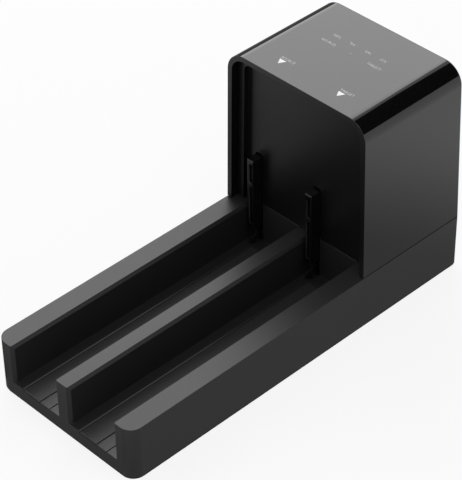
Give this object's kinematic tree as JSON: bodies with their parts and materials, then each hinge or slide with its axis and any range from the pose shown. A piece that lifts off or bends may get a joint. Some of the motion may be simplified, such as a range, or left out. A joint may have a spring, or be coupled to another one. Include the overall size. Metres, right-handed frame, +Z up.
{
  "type": "drive duplicator",
  "caption": "Two-bay drive duplicator: low black base with open drive channels and upright connectors in front of a glossy tower, ports at the rear.",
  "frame": {"origin": "on the table under the middle of the base", "axes": "+X across the channels, +Y from the open mouth to the rear, +Z up"},
  "size_m": [0.084, 0.198, 0.1078],
  "materials": {
    "matte_black_plastic": "fine moulded texture",
    "gloss_black_plastic": "polished",
    "soft_strip": "smooth soft",
    "connector_plastic": "moulded",
    "gold_plate": "polished plate",
    "circuit_board": "solder mask",
    "chip_package": "moulded epoxy",
    "can_aluminium": "satin",
    "zinc_steel": "zinc plated",
    "nickel_plate": "bright plate",
    "clear_guide": "clear moulded",
    "lamp_body": "clear epoxy",
    "cable_jacket": "flat film",
    "rocker_plastic": "polished",
    "button_plastic": "satin",
    "foot_rubber": "soft matte"
  },
  "bodies": {
    "housing": {"base_cradle": "matte_black_plastic", "bottom_plate": "matte_black_plastic", "tower_shell": "gloss_black_plastic", "front_panel": "gloss_black_plastic", "floor_pad_left": "soft_strip", "floor_pad_right": "soft_strip", "sata_housing_left": "connector_plastic", "sata_housing_right": "connector_plastic", "card_socket": "connector_plastic", "power_jack": "connector_plastic", "usb_socket_body": "connector_plastic", "copy_switch_body": "connector_plastic", "cable_sockets": "connector_plastic", "power_switch_body": "connector_plastic", "sata_contacts_left": "gold_plate", "sata_contacts_right": "gold_plate", "usb_socket_contacts": "gold_plate", "backplane_board": "circuit_board", "main_board": "circuit_board", "indicator_board": "circuit_board", "controller_chips": "chip_package", "inductors": "chip_package", "capacitors": "can_aluminium", "crystals": "can_aluminium", "base_screws": "zinc_steel", "tower_screws": "zinc_steel", "main_board_screws": "zinc_steel", "backplane_screws": "zinc_steel", "indicator_board_screws": "zinc_steel", "usb_socket_shell": "nickel_plate", "power_jack_pin": "nickel_plate", "light_guide": "clear_guide", "status_lamps": "lamp_body", "flat_cable": "cable_jacket", "rubber_feet": "foot_rubber"},
    "rocker": {"power_rocker": "rocker_plastic"},
    "button": {"copy_button": "button_plastic", "copy_switch_plunger": "button_plastic"}
  },
  "joints": [
    {"name": "power_rocker_tilt", "type": "hinge", "parent": "housing", "child": "rocker", "pos_m": [-0.0225, 0.0942, 0.016], "axis": [0, 0, 1], "range_deg": [0, 16]},
    {"name": "copy_button_press", "type": "slide", "parent": "housing", "child": "button", "axis": [0, -1, 0], "range_m": [0, 0.0008], "stiffness_N_per_m": 1000}
  ]
}
